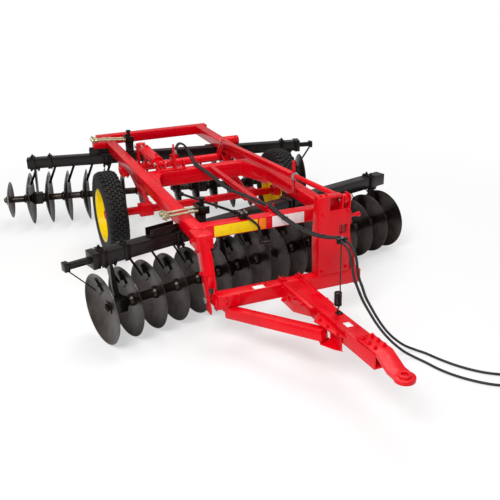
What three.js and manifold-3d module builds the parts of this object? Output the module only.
// A trailed offset disc harrow: a welded tube frame carries two angled gangs of concave discs on
// beams, a pair of transport wheels on a lifting axle, and a hinged drawbar with a levelling link.
// Millimetres, +Z up. The drawbar points along -Y, so +X is the machine's left-hand side.
import * as THREE from "three";
import { mergeVertices } from "three/addons/utils/BufferGeometryUtils.js";
import Module from "manifold-3d";

const wasm = await Module();
wasm.setup();

// ---- Driving dimensions -----------------------------------------------------------------------

const GAP = 0.3; // between pieces that touch
const TUBE = 120; // side of the square tube in the rails, crossbars and gang beams
const DISC_PITCH = 230;
const DISC_RADIUS = 320;
const DISC_DISH = 68; // depth of a disc's hollow
const DISC_THICKNESS = 6;
const DISCS_PER_GANG = 8;
const SMALL_DISC_RADIUS = 225;
const WHEEL_RADIUS = 480;
const TYRE_WIDTH = 230;

// The frame's box of tubes, measured from the machine's centre line.
const FRAME_TOP = 930;
const FRAME_BOTTOM = FRAME_TOP - TUBE;
const RAIL_X = 650;
const RAIL_IN = RAIL_X - TUBE / 2;
const RAIL_OUT = RAIL_X + TUBE / 2;
const REAR_BAR_Y = 2180; // front face of the rear crossbar
const MID_BEAM_Y = 192; // front face of the deep crossbeam
const FRONT_BAR_Y = -1582; // front face of the front crossbar
const NOSE_BACK_Y = -1600; // where the rails widen into the nose boxes
const NOSE_FRONT_Y = -1795;
const NOSE_OUT = 742;

// The gangs: each arbor line passes through its first disc's centre and is turned about Z.
const FRONT_GANG = { x: -1471, y: -1525.5, angle: 15.05 };
const REAR_GANG = { x: -1763.5, y: 1889, angle: -12.33 };
const BEAM_FRONT = 59; // from the arbor line back to the beam's front face
const BEAM_TOP = 802;
const BEAM_BOTTOM = BEAM_TOP - TUBE;

// The lift axle turns about the rock shaft, and the drawbar about its hinge pins.
const ROCK = { y: 1180, z: 740, radius: 48 };
const AXLE = { y: 380, z: WHEEL_RADIUS };
const WHEEL_X = 1022;
const HINGE = { y: -1910, z: 398, radius: 18 };
const LINK_X = 530; // plane of the levelling link
const LINK_REAR = { y: 950, z: 985 };
const LINK_FRONT = { y: -2020, z: 1150 };
const CYLINDER_X = -430;
const CYLINDER_FRONT = { y: 340, z: 985 };
const CYLINDER_REAR = { y: 1190, z: 995 };

// ---- Colours ----------------------------------------------------------------------------------

const paint = (color) => new THREE.MeshStandardMaterial({ color, roughness: 0.45, metalness: 0.1 });
const RED = paint(0xd8141f);
const BLACK = paint(0x262220);
const YELLOW = paint(0xf2b800);
const DISC_STEEL = new THREE.MeshStandardMaterial({ color: 0x4a4240, roughness: 0.5, metalness: 0.7 });
const ZINC = new THREE.MeshStandardMaterial({ color: 0xb8ae8c, roughness: 0.4, metalness: 0.8 });
const CHROME = new THREE.MeshStandardMaterial({ color: 0xd5d8da, roughness: 0.15, metalness: 1.0 });
const RUBBER = new THREE.MeshStandardMaterial({ color: 0x1d1d1d, roughness: 0.85, metalness: 0.0 });

// ---- Solids -----------------------------------------------------------------------------------

// A closed geometry as a manifold-3d solid.
function solidOf(geometry) {
  const bare = geometry.clone();
  bare.deleteAttribute("normal");
  bare.deleteAttribute("uv");
  const merged = mergeVertices(bare, 1e-3);
  const mesh = new wasm.Mesh({
    numProp: 3,
    vertProperties: new Float32Array(merged.attributes.position.array),
    triVerts: new Uint32Array(merged.index.array),
  });
  return new wasm.Manifold(mesh);
}

function geometryOf(solid) {
  const mesh = solid.getMesh();
  const geometry = new THREE.BufferGeometry();
  geometry.setAttribute("position", new THREE.BufferAttribute(mesh.vertProperties, 3));
  geometry.setIndex(new THREE.BufferAttribute(mesh.triVerts, 1));
  return geometry;
}

const join = (...parts) => geometryOf(parts.map(solidOf).reduce((whole, part) => whole.add(part)));

const cut = (body, ...tools) =>
  geometryOf(tools.map(solidOf).reduce((left, tool) => left.subtract(tool), solidOf(body)));

// An upright box between two values on each axis, in either order.
function block([x0, x1], [y0, y1], [z0, z1]) {
  const box = new THREE.BoxGeometry(Math.abs(x1 - x0), Math.abs(y1 - y0), Math.abs(z1 - z0));
  return box.translate((x0 + x1) / 2, (y0 + y1) / 2, (z0 + z1) / 2);
}

// A flat plate cut to an outline. plateX's outline is in (y, z), plateZ's in (x, y).
function plate(outline, thickness) {
  const shape = new THREE.Shape(outline.map(([a, b]) => new THREE.Vector2(a, b)));
  return new THREE.ExtrudeGeometry(shape, { depth: thickness, bevelEnabled: false });
}

function plateX(outline, [x0, x1]) {
  const basis = new THREE.Matrix4().makeBasis(
    new THREE.Vector3(0, 1, 0),
    new THREE.Vector3(0, 0, 1),
    new THREE.Vector3(1, 0, 0),
  );
  return plate(outline, Math.abs(x1 - x0)).applyMatrix4(basis).translate(Math.min(x0, x1), 0, 0);
}

const plateZ = (outline, [z0, z1]) => plate(outline, z1 - z0).translate(0, 0, z0);

// A round bar between two points; bars along one line have their facets in line.
function round(from, to, radius, sides = 16) {
  const start = new THREE.Vector3(...from);
  const end = new THREE.Vector3(...to);
  const along = end.clone().sub(start);
  const bar = new THREE.CylinderGeometry(radius, radius, along.length(), sides);
  const turn = new THREE.Quaternion().setFromUnitVectors(new THREE.Vector3(0, 1, 0), along.normalize());
  const middle = start.add(end).multiplyScalar(0.5);
  return bar.applyQuaternion(turn).translate(middle.x, middle.y, middle.z);
}

// A rectangular bar between two points, width across and height in the upright plane.
function bar(from, to, width, height) {
  const start = new THREE.Vector3(...from);
  const end = new THREE.Vector3(...to);
  const along = end.clone().sub(start);
  const length = along.length();
  along.normalize();
  const side = along.clone().cross(new THREE.Vector3(0, 0, 1)).normalize();
  const up = side.clone().cross(along);
  const middle = start.add(end).multiplyScalar(0.5);
  const basis = new THREE.Matrix4().makeBasis(side, along, up).setPosition(middle);
  return new THREE.BoxGeometry(width, length, height).applyMatrix4(basis);
}

// A solid of revolution about X through (y, z), with a flat facet underneath. The profile is a
// list of [x, radius], where radius is measured to the middle of a facet.
function turned(profile, sides, y = 0, z = 0) {
  const reach = 1 / Math.cos(Math.PI / sides);
  const points = profile.map(([x, radius]) => new THREE.Vector2(radius * reach, x));
  if (THREE.ShapeUtils.area(points) < 0) points.reverse();
  const lathe = new THREE.LatheGeometry(points, sides, Math.PI / sides);
  return lathe.rotateZ(-Math.PI / 2).translate(0, y, z);
}

// A bent round tube through route points.
function hose(points, radius, steps, sides = 8) {
  const curve = new THREE.CatmullRomCurve3(points.map((p) => new THREE.Vector3(...p)), false, "centripetal");
  const ring = new THREE.Shape();
  for (let i = 0; i < sides; i += 1) {
    const turn = (2 * Math.PI * i) / sides;
    const [a, b] = [radius * Math.cos(turn), radius * Math.sin(turn)];
    if (i === 0) ring.moveTo(a, b);
    else ring.lineTo(a, b);
  }
  return new THREE.ExtrudeGeometry(ring, { steps, extrudePath: curve, bevelEnabled: false });
}

const machine = new THREE.Group();
const frontGang = new THREE.Group();
const rearGang = new THREE.Group();

function piece(name, geometry, material, group = machine) {
  const mesh = new THREE.Mesh(geometry, material);
  mesh.name = name;
  group.add(mesh);
  return mesh;
}

// ---- Main frame -------------------------------------------------------------------------------

const SIDES = { right: -1, left: 1 };
const frameZ = [FRAME_BOTTOM, FRAME_TOP];

for (const [name, side] of Object.entries(SIDES)) {
  const across = [side * RAIL_IN, side * RAIL_OUT];
  piece(`${name}_rail`, block(across, [NOSE_BACK_Y + GAP, REAR_BAR_Y - GAP], frameZ), RED);
}

const rearBar = block([-760, 760], [REAR_BAR_Y, REAR_BAR_Y + TUBE], frameZ);
piece("rear_crossbar", rearBar, RED);

const MID_BEAM_DEPTH = 165;
const HAUNCH_X = 455; // the beam widens forward from here out to the rails
const HAUNCH_Y = -250;
const beamEnd = RAIL_IN - GAP;
const midOutline = [
  [-beamEnd, HAUNCH_Y],
  [-540, 0],
  [-HAUNCH_X, MID_BEAM_Y],
  [HAUNCH_X, MID_BEAM_Y],
  [540, 0],
  [beamEnd, HAUNCH_Y],
  [beamEnd, MID_BEAM_Y + TUBE],
  [-beamEnd, MID_BEAM_Y + TUBE],
];
piece("mid_crossbeam", plateZ(midOutline, [FRAME_TOP - MID_BEAM_DEPTH, FRAME_TOP]), RED);

piece("front_crossbar", block([-beamEnd, beamEnd], [FRONT_BAR_Y, FRONT_BAR_Y + TUBE], frameZ), RED);

// A light bar along the middle carries the hoses.
const HOSE_BAR = { x0: 85, x1: 135, depth: 50 };
const hoseBarY = [FRONT_BAR_Y + TUBE + GAP, MID_BEAM_Y - GAP];
const hoseBar = block([HOSE_BAR.x0, HOSE_BAR.x1], hoseBarY, [FRAME_TOP - HOSE_BAR.depth, FRAME_TOP]);
const clipY = [-1400, -1365];
const clipPad = block([84, 152], clipY, [FRAME_TOP - 10, FRAME_TOP + 4]);
const clipEars = [[84, 90], [146, 152]].map((x) => block(x, clipY, [FRAME_TOP, FRAME_TOP + 36]));
piece("hose_bar", join(hoseBar, clipPad, ...clipEars), RED);

// Stubs outside the rails, over the rear gang beam.
piece("right_stub", block([-875, -RAIL_OUT - GAP], [1820, 1940], frameZ), RED);
piece("left_stub", round([RAIL_OUT + GAP, 1400, 872], [900, 1400, 872], 60, 28), RED);

// The nose boxes and the slotted posts below them, which hold the drawbar's hinge pins.
function post(side) {
  const at = (a, b) => [side * a, side * b];
  const nose = block(at(RAIL_IN, NOSE_OUT), [NOSE_FRONT_Y, NOSE_BACK_Y], frameZ);
  const outer = [
    [-1640, FRAME_TOP],
    [-1655, 857],
    [-1733, 683],
    [-1790, 537],
    [-1868, 400],
    [-1887, 300],
    [-1905, 290],
    [-1985, 290],
    [-1992, 330],
    [-1905, 560],
    [-1850, 690],
    [-1800, FRAME_BOTTOM],
    [NOSE_FRONT_Y, FRAME_TOP],
  ];
  const inner = [
    [-1700, FRAME_BOTTOM + 20],
    [-1795, 760],
    [-1828, 621],
    [-1872, 430],
    [-1878, 286],
    [-1935, 286],
    [-1935, 480],
    [-1895, 640],
    [-1850, 780],
    [NOSE_FRONT_Y, FRAME_BOTTOM + 20],
  ];
  const web = [
    [-1795, FRAME_BOTTOM + 5],
    [-1850, 690],
    [-1895, 600],
    [-1883, 600],
    [-1838, 690],
    [-1783, FRAME_BOTTOM + 5],
  ];
  const pin = round([side * 606, HINGE.y, HINGE.z], [side * 724, HINGE.y, HINGE.z], HINGE.radius);
  const plates = [plateX(outer, at(697, 712)), plateX(inner, at(625, 640)), plateX(web, at(632, 705))];
  return join(nose, ...plates, pin);
}
piece("right_post", post(-1), RED);
piece("left_post", post(1), RED);

// ---- Gangs ------------------------------------------------------------------------------------

for (const [group, place] of [[frontGang, FRONT_GANG], [rearGang, REAR_GANG]]) {
  group.position.set(place.x, place.y, 0);
  group.rotation.z = THREE.MathUtils.degToRad(place.angle);
  machine.add(group);
}

// A gang is made along its group's X, with each disc's hollow towards `hollow`, +1 or -1.
const DISC_SIDES = 16;
const SPOOL_RADIUS = 44;
const JOURNAL_RADIUS = 34;
const JOURNAL_HALF = 62;
const NUT_RADIUS = 30;
const HUB_STEP = 26; // length of the nut at each end of an arbor
const FRONT_HANGERS = [0, 5, 8, 14]; // the gaps between discs that hold a bearing
const REAR_HANGERS = [0, 6, 9, 14];
const hangerX = (gap, hollow) => DISC_PITCH * (gap + 0.5) + 25 * hollow;

// Depth of the disc's hollow, at a radius measured out to the rim.
function dishAt(radius, rim) {
  const share = DISC_DISH * (rim / DISC_RADIUS);
  const sphere = (rim * rim + share * share) / (2 * share);
  return sphere - Math.sqrt(sphere * sphere - radius * radius);
}

// One disc's outline from the spool out to the rim and back, in order along X.
function discOutline(x, rim, hollow) {
  const half = DISC_THICKNESS / 2;
  const rings = [SPOOL_RADIUS, 0.6 * rim, rim];
  const face = (offset) => rings.map((radius) => [x + hollow * dishAt(radius, rim) + offset, radius]);
  return [...face(-half), ...face(half).reverse()];
}

// A gang is one turned solid: its arbor, spools, bearing journals and discs.
function gang(first, last, hollow, smallFirst) {
  const hangers = hollow < 0 ? FRONT_HANGERS : REAR_HANGERS;
  const low = first * DISC_PITCH - (hollow < 0 ? 70 : 45);
  const high = last * DISC_PITCH + (hollow < 0 ? 45 : 70);
  const profile = [[low, 0], [low, NUT_RADIUS], [low + HUB_STEP, NUT_RADIUS], [low + HUB_STEP, SPOOL_RADIUS]];
  for (let i = first; i <= last; i += 1) {
    const rim = smallFirst && i === first ? SMALL_DISC_RADIUS : DISC_RADIUS;
    profile.push(...discOutline(i * DISC_PITCH, rim, hollow));
    if (i < last && hangers.includes(i)) {
      const [start, end] = [hangerX(i, hollow) - JOURNAL_HALF, hangerX(i, hollow) + JOURNAL_HALF];
      profile.push([start, SPOOL_RADIUS], [start, JOURNAL_RADIUS]);
      profile.push([end, JOURNAL_RADIUS], [end, SPOOL_RADIUS]);
    }
  }
  profile.push([high - HUB_STEP, SPOOL_RADIUS], [high - HUB_STEP, NUT_RADIUS], [high, NUT_RADIUS], [high, 0]);
  return turned(profile, DISC_SIDES, 0, DISC_RADIUS);
}

const LAST = 2 * DISCS_PER_GANG - 1;
piece("front_right_gang", gang(0, DISCS_PER_GANG - 1, -1, false), DISC_STEEL, frontGang);
piece("front_left_gang", gang(DISCS_PER_GANG, LAST, -1, false), DISC_STEEL, frontGang);
piece("rear_right_gang", gang(-1, DISCS_PER_GANG - 1, 1, true), DISC_STEEL, rearGang);
piece("rear_left_gang", gang(DISCS_PER_GANG, LAST, 1, false), DISC_STEEL, rearGang);

// A beam with its four bearing hangers. The bearing housings ring the arbor's journals.
function gangBeam(x0, x1, hollow) {
  const beam = block([x0, x1], [BEAM_FRONT, BEAM_FRONT + TUBE], [BEAM_BOTTOM, BEAM_TOP]);
  const parts = [];
  const bores = [];
  for (const gap of hollow < 0 ? FRONT_HANGERS : REAR_HANGERS) {
    const x = hangerX(gap, hollow);
    const arm = [
      [-45, DISC_RADIUS],
      [45, DISC_RADIUS],
      [BEAM_FRONT + 80, BEAM_BOTTOM - 60],
      [BEAM_FRONT + 80, BEAM_BOTTOM + 10],
      [BEAM_FRONT + 10, BEAM_BOTTOM + 10],
    ];
    parts.push(plateX(arm, [x - 12, x + 12]));
    parts.push(block([x - 55, x + 55], [-62, 62], [DISC_RADIUS - 62, DISC_RADIUS + 62]));
    const padZ = [BEAM_BOTTOM - 12, BEAM_BOTTOM + 5];
    parts.push(block([x - 60, x + 60], [BEAM_FRONT + 5, BEAM_FRONT + 90], padZ));
    bores.push(round([x - 80, 0, DISC_RADIUS], [x + 80, 0, DISC_RADIUS], JOURNAL_RADIUS + 5, 12));
  }
  return cut(join(beam, ...parts), ...bores);
}
piece("front_gang_beam", gangBeam(-10, 3477, -1), BLACK, frontGang);
piece("rear_gang_beam", gangBeam(54, 3460, 1), BLACK, rearGang);

// A capped socket on the beam's outer end holds a stay bar, whose collar carries the last scraper.
function stay(end, outer, side, hollow, disc) {
  const y = BEAM_FRONT + TUBE / 2;
  const z = BEAM_TOP - TUBE / 2;
  const socket = block([end, end + side * 66], [y - 72, y + 72], [z - 72, z + 72]);
  const stem = block([end + side * 40, outer], [y - 25, y + 25], [z - 25, z + 25]);
  const collar = block([outer - side * 20, outer + side * 26], [y - 38, y + 38], [z - 38, z + 38]);
  const dish = dishAt(SCRAPER_RADIUS + 40, DISC_RADIUS);
  const tipX = disc * DISC_PITCH + hollow * (dish + SCRAPER_CLEARANCE + 4);
  const arm = bar([outer, y, z - 30], [tipX, 115, DISC_RADIUS + 140], 40, 10);
  return join(socket, stem, collar, arm);
}

// Scrapers: flat arms on a bar along the beam's rear face, each ending in a blade that follows
// the hollow face of its disc.
const SCRAPER_RADIUS = 215; // from the arbor out to the blade's middle
const SCRAPER_CLEARANCE = 12;
function scrapers(x0, x1, hollow, first, last) {
  const railY = [BEAM_FRONT + TUBE + GAP, BEAM_FRONT + TUBE + 10];
  const parts = [block([x0, x1], railY, [BEAM_BOTTOM - 25, BEAM_BOTTOM + 45])];
  for (let i = first; i <= last; i += 1) {
    const hub = i * DISC_PITCH;
    const tipX = hub + hollow * (dishAt(SCRAPER_RADIUS + 40, DISC_RADIUS) + SCRAPER_CLEARANCE + 4);
    const foot = [hub + hollow * 150, (railY[0] + railY[1]) / 2, BEAM_BOTTOM - 18];
    const tip = [tipX, 115, DISC_RADIUS + 140];
    parts.push(bar(foot, tip, 40, 10));
  }
  return join(...parts);
}
piece("front_scrapers", scrapers(40, 3455, -1, 1, LAST), BLACK, frontGang);
piece("rear_scrapers", scrapers(70, 3420, 1, 0, LAST - 1), BLACK, rearGang);
piece("front_right_stay", stay(-10 - GAP, -290, -1, -1, 0), BLACK, frontGang);
piece("rear_left_stay", stay(3460 + GAP, 3680, 1, 1, LAST), BLACK, rearGang);

// Saddles that bolt the beams under the rails.
function saddle(x) {
  const topY = [BEAM_FRONT - 30, BEAM_FRONT + TUBE + 30];
  const top = block([x - 150, x + 150], topY, [BEAM_TOP + GAP, FRAME_BOTTOM - GAP]);
  return top;
}
for (const [name, side] of Object.entries(SIDES)) {
  const frontX = (side * RAIL_X - FRONT_GANG.x) / Math.cos(THREE.MathUtils.degToRad(FRONT_GANG.angle));
  const rearX = (side * RAIL_X - REAR_GANG.x) / Math.cos(THREE.MathUtils.degToRad(REAR_GANG.angle));
  piece(`front_${name}_saddle`, saddle(frontX + 30), BLACK, frontGang);
  piece(`rear_${name}_saddle`, saddle(rearX - 30), BLACK, rearGang);
}

// Screw adjusters that hold the gangs' angle: two threaded rods through an end plate, above the
// right-hand rail, into a black box bracket.
function adjuster(outer, inner) {
  const [x0, y0] = outer;
  const [x1, y1] = inner;
  const rods = [46, -46].map((dy) => round([x0 - 30, y0 + dy, 965], [x1, y1 + dy, 965], 13, 10));
  const end = bar([x0 - 8, y0 - 1, 965], [x0 + 8, y0 + 1, 965], 140, 62);
  const box = block([x1 - 45, x1 + 55], [y1 - 70, y1 + 70], [FRAME_TOP + 5, 1000]);
  return join(...rods, end, box);
}
piece("front_adjuster", adjuster([-853, -1240], [-494, -1208]), ZINC);
piece("rear_adjuster", adjuster([-862, 1906], [-450, 1746]), ZINC);

// The crank that turns the front adjuster.
const crankRun = [
  [-540, -736, 976],
  [-210, -1528, 960],
  [-153, -1754, 930],
];
const crankRods = [
  round(crankRun[0], crankRun[1], 13, 8),
  round(crankRun[1], crankRun[2], 13, 8),
  round(crankRun[2], [-150, -1760, 760], 11, 8),
  round([-150, -1760, 766], [-60, -1775, 762], 13, 8),
];
const crankClamp = block([-245, -175], [FRONT_BAR_Y + 20, FRONT_BAR_Y + 90], [FRAME_TOP + GAP, 985]);
piece("crank", join(...crankRods, crankClamp), BLACK);

// ---- Lift axle --------------------------------------------------------------------------------

const LEVER_X = [520, 540];
const ARM_X = [560, 600];
const SHAFT_SIDES = 28;
const rockShaft = round([-715, ROCK.y, ROCK.z], [715, ROCK.y, ROCK.z], ROCK.radius, SHAFT_SIDES);
const linkLever = [
  [ROCK.y + 40, ROCK.z],
  [LINK_REAR.y + 28, LINK_REAR.z + 30],
  [LINK_REAR.y - 28, LINK_REAR.z + 26],
  [LINK_REAR.y - 32, LINK_REAR.z - 22],
  [ROCK.y - 70, ROCK.z - 20],
];
const cylinderLever = [
  [ROCK.y + 70, ROCK.z],
  [CYLINDER_REAR.y + 36, CYLINDER_REAR.z + 10],
  [CYLINDER_REAR.y + 20, CYLINDER_REAR.z + 34],
  [CYLINDER_REAR.y - 20, CYLINDER_REAR.z + 34],
  [CYLINDER_REAR.y - 36, CYLINDER_REAR.z + 10],
  [ROCK.y - 70, ROCK.z],
];
const leverPin = [LINK_REAR.y, LINK_REAR.z];
const eyePin = [CYLINDER_REAR.y, CYLINDER_REAR.z];
const shaftParts = [
  plateX(linkLever, LEVER_X),
  round([LINK_X - 34, ...leverPin], [LINK_X + 34, ...leverPin], 15),
  plateX(cylinderLever, [CYLINDER_X - 48, CYLINDER_X - 32]),
  plateX(cylinderLever, [CYLINDER_X + 32, CYLINDER_X + 48]),
  round([CYLINDER_X - 56, ...eyePin], [CYLINDER_X + 56, ...eyePin], 16),
];
piece("rock_shaft", join(rockShaft, ...shaftParts), RED);

// The brackets under the rails that carry the rock shaft.
for (const [name, side] of Object.entries(SIDES)) {
  const body = block([side * 612, side * 700], [ROCK.y - 75, ROCK.y + 75], [ROCK.z - 75, FRAME_BOTTOM - GAP]);
  const [inner, outer] = [side * 600, side * 720];
  const bore = round([inner, ROCK.y, ROCK.z], [outer, ROCK.y, ROCK.z], ROCK.radius + 3, SHAFT_SIDES);
  piece(`${name}_shaft_bracket`, cut(body, bore), RED);
}

// Two arms reach forward from the rock shaft to boxes around the axle tube.
const AXLE_TUBE = 68;
for (const [name, side] of Object.entries(SIDES)) {
  const x = (side * (ARM_X[0] + ARM_X[1])) / 2;
  const arm = bar([x, ROCK.y + 40, ROCK.z + 13], [x, AXLE.y - 20, AXLE.z - 6.5], ARM_X[1] - ARM_X[0], 110);
  const box = block([side * 548, side * 700], [AXLE.y - 62, AXLE.y + 62], [AXLE.z - 62, AXLE.z + 62]);
  const [inner, outer] = [side * 540, side * 620];
  const shaftBore = round([inner, ROCK.y, ROCK.z], [outer, ROCK.y, ROCK.z], ROCK.radius + GAP, SHAFT_SIDES);
  const half = AXLE_TUBE / 2 + GAP;
  const boreY = [AXLE.y - half, AXLE.y + half];
  const boreZ = [AXLE.z - half, AXLE.z + half];
  const axleBore = block([side * 500, side * 720], boreY, boreZ);
  piece(`${name}_lift_arm`, cut(join(arm, box), shaftBore, axleBore), RED);
}

const axleHalf = AXLE_TUBE / 2;
const axleY = [AXLE.y - axleHalf, AXLE.y + axleHalf];
const axleZ = [AXLE.z - axleHalf, AXLE.z + axleHalf];
const axleTube = block([-890, 890], axleY, axleZ);
const SPINDLE_RADIUS = 28;
const spindles = round([-1085, AXLE.y, AXLE.z], [1085, AXLE.y, AXLE.z], SPINDLE_RADIUS);
piece("axle_beam", join(axleTube, spindles), RED);

// Wheels: a dished rim with its hub, and a tyre seated on it.
const RIM_RADIUS = 292;
for (const [name, side] of Object.entries(SIDES)) {
  const at = (x) => side * (WHEEL_X + x);
  const rim = [
    [at(-118), SPINDLE_RADIUS + 2],
    [at(-118), 70],
    [at(-20), 80],
    [at(0), 215],
    [at(-85), 250],
    [at(-95), RIM_RADIUS],
    [at(95), RIM_RADIUS],
    [at(92), 262],
    [at(30), 240],
    [at(14), 80],
    [at(66), 66],
    [at(66), SPINDLE_RADIUS + 2],
    [at(-118), SPINDLE_RADIUS + 2],
  ];
  const tyre = [
    [at(-95), RIM_RADIUS + GAP],
    [at(-TYRE_WIDTH / 2), 345],
    [at(-TYRE_WIDTH / 2 + 2), 410],
    [at(-96), 455],
    [at(-70), WHEEL_RADIUS],
    [at(70), WHEEL_RADIUS],
    [at(96), 455],
    [at(TYRE_WIDTH / 2 - 2), 410],
    [at(TYRE_WIDTH / 2), 345],
    [at(95), RIM_RADIUS + GAP],
    [at(-95), RIM_RADIUS + GAP],
  ];
  piece(`${name}_rim`, turned(rim, 24, AXLE.y, AXLE.z), YELLOW);
  piece(`${name}_tyre`, turned(tyre, 24, AXLE.y, AXLE.z), RUBBER);
}

// ---- Lift cylinder ----------------------------------------------------------------------------

const PORTS = { x: -236, y: 390, z: 1060 }; // the block that the hoses screw into
const lug = [
  [CYLINDER_FRONT.y - 80, FRAME_TOP + GAP],
  [CYLINDER_FRONT.y - 20, CYLINDER_FRONT.z + 36],
  [CYLINDER_FRONT.y + 25, CYLINDER_FRONT.z + 36],
  [CYLINDER_FRONT.y + 30, FRAME_TOP - 40],
  [MID_BEAM_Y + TUBE + GAP, FRAME_TOP - 40],
  [MID_BEAM_Y + TUBE + GAP, FRAME_TOP + GAP],
];
const rightLug = [
  [200, FRAME_TOP + GAP],
  [215, 1020],
  [285, 1030],
  [304, FRAME_TOP + GAP],
];
const portLug = [
  [200, FRAME_TOP + GAP],
  [236, 1090],
  [262, 1205],
  [280, 1205],
  [286, 1090],
  [PORTS.y + 26, PORTS.z],
  [PORTS.y + 26, PORTS.z - 40],
  [304, FRAME_TOP + GAP],
];
const lugPin = [CYLINDER_FRONT.y, CYLINDER_FRONT.z];
const lugParts = [
  plateX(lug, [CYLINDER_X - 50, CYLINDER_X - 34]),
  plateX(lug, [CYLINDER_X + 34, CYLINDER_X + 50]),
  round([CYLINDER_X - 60, ...lugPin], [CYLINDER_X + 60, ...lugPin], 16),
  block([CYLINDER_X - 50, -180], [MID_BEAM_Y + 8, MID_BEAM_Y + TUBE - 8], [FRAME_TOP + GAP, FRAME_TOP + 14]),
  plateX(rightLug, [-200, -184]),
  plateX(portLug, [-300, -284]),
  block([-284, PORTS.x + 24], [PORTS.y - 26, PORTS.y + 26], [PORTS.z - 40, PORTS.z]),
];
piece("cylinder_lug", join(...lugParts), RED);

// The barrel hangs on the lug's pin; its rod runs back to the lever on the rock shaft.
const cylinderAt = (share) => [
  CYLINDER_X,
  CYLINDER_FRONT.y + share * (CYLINDER_REAR.y - CYLINDER_FRONT.y),
  CYLINDER_FRONT.z + share * (CYLINDER_REAR.z - CYLINDER_FRONT.z),
];
const eye = (y, z, radius, bore) =>
  cut(
    round([CYLINDER_X - 26, y, z], [CYLINDER_X + 26, y, z], radius),
    round([CYLINDER_X - 40, y, z], [CYLINDER_X + 40, y, z], bore),
  );
const BARREL_END = 0.7;
const barrelBody = round(cylinderAt(0.1), cylinderAt(BARREL_END), 62, 20);
const barrelNeck = bar(cylinderAt(0.03), cylinderAt(0.12), 44, 50);
const rodBore = round(cylinderAt(0.14), cylinderAt(0.75), 26);
const pinBore = round([CYLINDER_X - 60, ...lugPin], [CYLINDER_X + 60, ...lugPin], 17.5);
piece("lift_barrel", cut(join(barrelBody, barrelNeck, eye(...lugPin, 34, 17.5)), rodBore, pinBore), RED);

const eyeBore = round([CYLINDER_X - 60, ...eyePin], [CYLINDER_X + 60, ...eyePin], 24);
const liftRod = join(round(cylinderAt(0.24), cylinderAt(0.98), 24), eye(...eyePin, 42, 24));
piece("lift_rod", cut(liftRod, eyeBore), CHROME);

// ---- Levelling link ---------------------------------------------------------------------------

const LINK_MIDDLE = { y: -1000, z: 1086 };
const linkHoleRear = round([LINK_X - 60, ...leverPin], [LINK_X + 60, ...leverPin], 16.5);
const mastPin = [LINK_FRONT.y, LINK_FRONT.z];
const linkHoleFront = round([LINK_X - 60, ...mastPin], [LINK_X + 60, ...mastPin], 24);
const slope = (LINK_MIDDLE.z - LINK_REAR.z) / (LINK_MIDDLE.y - LINK_REAR.y);
const onLink = (y) => LINK_REAR.z + slope * (y - LINK_REAR.y);
const clevis = (x) => bar([x, LINK_REAR.y + 32, onLink(LINK_REAR.y + 32)], [x, 830, onLink(830)], 14, 48);
const linkParts = [
  bar([LINK_X, 840, onLink(840)], [LINK_X, LINK_MIDDLE.y, LINK_MIDDLE.z], 58, 50),
  clevis(LINK_X - 22),
  clevis(LINK_X + 22),
  bar([LINK_X, LINK_MIDDLE.y - 28, 930], [LINK_X, LINK_MIDDLE.y - 30, 1236], 16, 42),
  round([LINK_X, LINK_MIDDLE.y + 10, LINK_MIDDLE.z], [LINK_X, LINK_FRONT.y + 30, LINK_FRONT.z - 3], 25, 20),
  round([LINK_X - 20, ...mastPin], [LINK_X + 20, ...mastPin], 44),
];
piece("leveling_link", cut(join(...linkParts), linkHoleRear, linkHoleFront), RED);

// ---- Drawbar ----------------------------------------------------------------------------------

// The lower beam's ears turn on the posts' hinge pins.
const LOWER_BEAM = { x: [-662, 691], y: [-2065, -1948], z: [361, 481] };
const EAR = [
  [LOWER_BEAM.y[0] + 40, HINGE.z - 30],
  [LOWER_BEAM.y[1], HINGE.z - 37],
  [HINGE.y + 20, HINGE.z - 37],
  [HINGE.y + 38, HINGE.z - 14],
  [HINGE.y + 38, HINGE.z + 14],
  [HINGE.y + 20, HINGE.z + 37],
  [LOWER_BEAM.y[0] + 40, HINGE.z + 37],
];
const ears = [-1, 1].flatMap((side) => [plateX(EAR, [side * 648, side * 676])]);
const earBore = (side) =>
  round([side * 644, HINGE.y, HINGE.z], [side * 695, HINGE.y, HINGE.z], HINGE.radius + 2);
const earBores = [-1, 1].map(earBore);
const lowerBeam = block(LOWER_BEAM.x, LOWER_BEAM.y, LOWER_BEAM.z);
piece("lower_beam", cut(join(lowerBeam, ...ears), ...earBores), RED);

// The mast is a channel of folded plate, open to the rear, with cheeks for the link's pin.
const MAST = { x: [266, 570], front: LOWER_BEAM.y[0], back: -1945, foot: LOWER_BEAM.z[1] + GAP };
const mastSide = [
  [MAST.front, MAST.foot],
  [MAST.back, MAST.foot],
  [MAST.back + 10, 800],
  [-1975, 1200],
  [-2045, 1200],
  [MAST.front, 1190],
];
const mastParts = [
  block(MAST.x, [MAST.front, MAST.front + 14], [MAST.foot, 1078]),
  block([MAST.x[0], 372], [MAST.front, MAST.front + 14], [MAST.foot, 1206]),
  plateX(mastSide, [MAST.x[0], MAST.x[0] + 14]),
  plateX(mastSide, [MAST.x[1] - 10, MAST.x[1]]),
  plateX(mastSide, [LINK_X - 42, LINK_X - 30]),
  block([MAST.x[0], 488], [MAST.front, -1985], [1188, 1206]),
  round([LINK_X - 50, ...mastPin], [MAST.x[1] + 12, ...mastPin], 16),
  block(MAST.x, [MAST.front, MAST.back], [MAST.foot, MAST.foot + 14]),
  round([MAST.x[1] - 6, -2010, 985], [MAST.x[1] + 120, -2010, 985], 14, 12),
  round([MAST.x[1] + 96, -2010, 985], [MAST.x[1] + 120, -2010, 985], 22, 12),
];
const mastSlots = [
  block([465, 545], [MAST.front - 5, MAST.front + 30], [850, 935]),
];
piece("mast", cut(join(...mastParts), ...mastSlots), RED);

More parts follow.
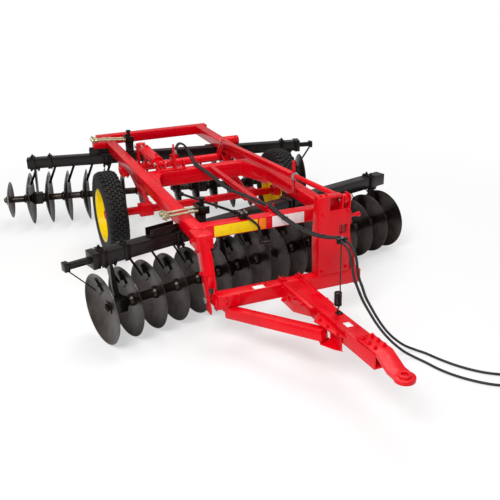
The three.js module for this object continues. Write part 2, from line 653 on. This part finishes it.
// The tongue slopes up to the hitch. Its side plates clasp the lower beam.
const TONGUE = { x: 25, half: 70, height: 120 };
const tongueTop = (y) => 490 + (0.0437 * (LOWER_BEAM.y[0] - y));
const tongueEnd = -3490;
const tongueOutline = [
  [LOWER_BEAM.y[0] - GAP, tongueTop(LOWER_BEAM.y[0]) - TONGUE.height],
  [LOWER_BEAM.y[0] - GAP, tongueTop(LOWER_BEAM.y[0])],
  [tongueEnd, tongueTop(tongueEnd)],
  [tongueEnd, tongueTop(tongueEnd) - TONGUE.height],
];
const tongueTube = plateX(tongueOutline, [TONGUE.x - TONGUE.half, TONGUE.x + TONGUE.half]);
const tongueBore = plateX(
  [
    [tongueEnd + 260, tongueTop(tongueEnd) - 20],
    [tongueEnd + 260, tongueTop(tongueEnd) - TONGUE.height + 8],
    [tongueEnd - 10, tongueTop(tongueEnd) - TONGUE.height + 10],
    [tongueEnd - 10, tongueTop(tongueEnd) - 10],
  ],
  [TONGUE.x - TONGUE.half + 10, TONGUE.x + TONGUE.half - 10],
);
const tongueCheek = [
  [LOWER_BEAM.y[0] - GAP, 326],
  [LOWER_BEAM.y[0] - GAP, 505],
  [-2290, 500],
  [-2610, tongueTop(-2610) - 6],
  [-2610, 434],
  [-2290, 326],
];
const cheeks = [
  plateX(tongueCheek, [TONGUE.x - TONGUE.half - 40, TONGUE.x - TONGUE.half]),
  plateX(tongueCheek, [TONGUE.x + TONGUE.half, TONGUE.x + TONGUE.half + 26]),
];
const cheekX = TONGUE.x - TONGUE.half;
const cheekHole = block([cheekX - 60, cheekX - 18], [-2261, -2184], [400, 440]);
piece("tongue", cut(join(tongueTube, ...cheeks), tongueBore, cheekHole), RED);

// A diagonal brace from the lower beam's right end to the tongue.
const braceRear = [-560, -2010, 302];
const braceFront = [-112, -2890, 422];
const braceParts = [
  bar(braceRear, braceFront, 84, 88),
  round([-545, -2010, 323], [-545, -2010, LOWER_BEAM.z[0] - GAP], 66, 24),
];
piece("brace", join(...braceParts), RED);

// Plates above and below the brace's front end, on a web against the tongue's side.
const webX = TONGUE.x - TONGUE.half - GAP;
const upperPlate = [
  [webX, -2690],
  [webX, -3110],
  [webX - 45, -3040],
  [webX - 95, -2770],
];
const lowerPlate = [
  [webX, -2740],
  [webX, -3060],
  [webX - 45, -3010],
  [webX - 104, -2900],
  [webX - 70, -2770],
];
const braceBracket = [
  block([webX - 12, webX], [-3050, -2880], [345, 490]),
  plateZ(upperPlate, [478, 490]),
  plateZ(lowerPlate, [345, 355]),
];
piece("brace_bracket", join(...braceBracket), RED);

// The hitch strap lies on the tongue, steps down and ends in a round eye.
const STRAP = 20;
const EYE = { y: -3750, z: [484, 514], radius: 76 };
const strap = [
  [-3236, tongueTop(-3236) + GAP],
  [-3236, tongueTop(-3236) + STRAP],
  [-3498, tongueTop(-3498) + STRAP],
  [-3650, EYE.z[1]],
  [EYE.y, EYE.z[1]],
  [EYE.y, EYE.z[0]],
  [-3640, EYE.z[0]],
  [tongueEnd - GAP, tongueTop(tongueEnd) - 8],
  [tongueEnd - GAP, tongueTop(tongueEnd) + GAP],
];
const hitchParts = [
  plateX(strap, [TONGUE.x - 68, TONGUE.x + 68]),
  round([TONGUE.x, EYE.y, EYE.z[0]], [TONGUE.x, EYE.y, EYE.z[1]], EYE.radius, 20),
  round([TONGUE.x, EYE.y, EYE.z[1] - 5], [TONGUE.x, EYE.y, EYE.z[1] + 18], 44, 16),
];
const hitchHole = round([TONGUE.x, EYE.y, 400], [TONGUE.x, EYE.y, 600], 26);
piece("hitch_strap", cut(join(...hitchParts), hitchHole), RED);

// ---- Hoses ------------------------------------------------------------------------------------

// A sprung holder stands on the tongue and carries the hoses at its clamp.
const HOLDER = { x: 70, y: -2803, z: 1128 };
const holderFoot = tongueTop(HOLDER.y - 24) + GAP;
const holderParts = [
  block([HOLDER.x - 34, HOLDER.x + 14], [HOLDER.y - 24, HOLDER.y + 24], [holderFoot, holderFoot + 8]),
  round([HOLDER.x - 22, HOLDER.y, holderFoot + 4], [HOLDER.x - 22, HOLDER.y, 610], 7, 8),
  round([HOLDER.x - 22, HOLDER.y, 600], [HOLDER.x - 22, HOLDER.y, 705], 31, 16),
  round([HOLDER.x - 6, HOLDER.y, 695], [HOLDER.x - 6, HOLDER.y, HOLDER.z - 18], 6, 8),
  block([HOLDER.x - 44, HOLDER.x + 44], [HOLDER.y - 15, HOLDER.y + 15], [HOLDER.z - 20, HOLDER.z + 20]),
];
piece("hose_holder", join(...holderParts), BLACK);

const HOSE_RADIUS = 11;
const HOSE_SPREAD = 20; // from the middle of the holder's clamp to each hose
const HOSE_SIDES = { 1: 1, 2: -1 };

// The fixed runs go from the ports over the deep crossbeam, along the hose bar, through its clip
// and over the front crossbar to the holder. The second hose lies beside the first.
const hoseRun = (side) => [
  [PORTS.x, PORTS.y + side * 13, PORTS.z + GAP],
  [PORTS.x, PORTS.y + side * 13, PORTS.z + 40],
  [PORTS.x + 12, PORTS.y + side * 13, 1135],
  [-185, 405 + side * 13, 1170],
  [-135, 408 + side * 13, 1155],
  [-98 + side * 8, 395 + side * 8, 1100],
  [-70 + side * 13, 352, 1030],
  [-54 + side * 13, 290, 968],
  [-40 + side * 13, 200, 944],
  [-22 + side * 13, 31, 936],
  [-11 + side * 13, -155, 925],
  [2 + side * 13, -514, 905],
  [24 + side * 13, -720, 912],
  [46 + side * 13, -930, 930],
  [78 + side * 13, -1180, 944],
  [112 + side * 13, -1340, 946],
  [118 + side * 13, -1383, 946],
  [118 + side * 13, -1430, 946],
  [112 + side * 13, -1560, 946],
  [101 + side * 14, -1742, 949],
  [90 + side * 16, -2060, 966],
  [78 + side * 18, -2390, 1024],
  [71 + side * 20, -2600, 1080],
  [70 + side * 20, -2700, 1115],
  [HOLDER.x + side * HOSE_SPREAD, HOLDER.y + 60, HOLDER.z],
  [HOLDER.x + side * HOSE_SPREAD, HOLDER.y + 16, HOLDER.z],
];

// The free ends drop from the holder to the ground and lie towards the tractor's side.
const hoseFree = {
  1: [
    [90, -2819, 1128],
    [90, -2852, 1128],
    [91, -2896, 1119],
    [93, -2933, 1094],
    [96, -2958, 1057],
    [102, -2967, 1013],
    [117, -2960, 935],
    [145, -2940, 858],
    [190, -2910, 775],
    [255, -2862, 652],
    [345, -2815, 510],
    [435, -2780, 372],
    [540, -2755, 228],
    [640, -2745, 120],
    [728, -2757, 48],
    [800, -2800, 16],
    [848, -2878, 12],
    [895, -3004, 12],
    [949, -3120, 12],
    [1015, -3225, 12],
    [1090, -3312, 12],
    [1180, -3385, 12],
    [1300, -3455, 12],
    [1430, -3515, 12],
  ],
  2: [
    [50, -2819, 1128],
    [50, -2852, 1128],
    [50, -2898, 1119],
    [51, -2937, 1093],
    [54, -2963, 1054],
    [58, -2972, 1008],
    [73, -2972, 930],
    [100, -2958, 855],
    [138, -2938, 778],
    [202, -2908, 655],
    [290, -2870, 515],
    [385, -2838, 372],
    [490, -2820, 232],
    [586, -2818, 124],
    [668, -2836, 48],
    [726, -2896, 16],
    [762, -2990, 12],
    [800, -3128, 12],
    [853, -3246, 12],
    [930, -3362, 12],
    [1030, -3470, 12],
    [1145, -3550, 12],
    [1270, -3620, 12],
    [1400, -3680, 12],
  ],
};

// A plug at a hose's end, along its last stretch.
function coupler(route) {
  const [before, last] = route.slice(-2).map((p) => new THREE.Vector3(...p));
  const along = last.clone().sub(before).normalize();
  const at = (distance) => last.clone().addScaledVector(along, distance).toArray();
  return join(
    round(at(GAP), at(32), 11.6, 12),
    round(at(26), at(62), 11.8, 12),
    round(at(58), at(92), 9, 12),
  );
}

const hoses = new THREE.Group();
for (const [number, side] of Object.entries(HOSE_SIDES)) {
  piece(`hose_run_${number}`, hose(hoseRun(side), HOSE_RADIUS, 70), RUBBER, hoses);
  piece(`hose_free_${number}`, hose(hoseFree[number], HOSE_RADIUS, 72), RUBBER, hoses);
  piece(`hose_coupler_${number}`, coupler(hoseFree[number]), ZINC, hoses);
}

// ---- Standing place ---------------------------------------------------------------------------

// The origin is on the ground under the middle of the machine's box.
machine.updateMatrixWorld(true);
const size = new THREE.Box3().setFromObject(machine, true);
const centre = size.getCenter(new THREE.Vector3());
machine.add(hoses);
machine.position.set(-centre.x, -centre.y, 0);

const harrow = new THREE.Group();
harrow.add(machine);
export default harrow;
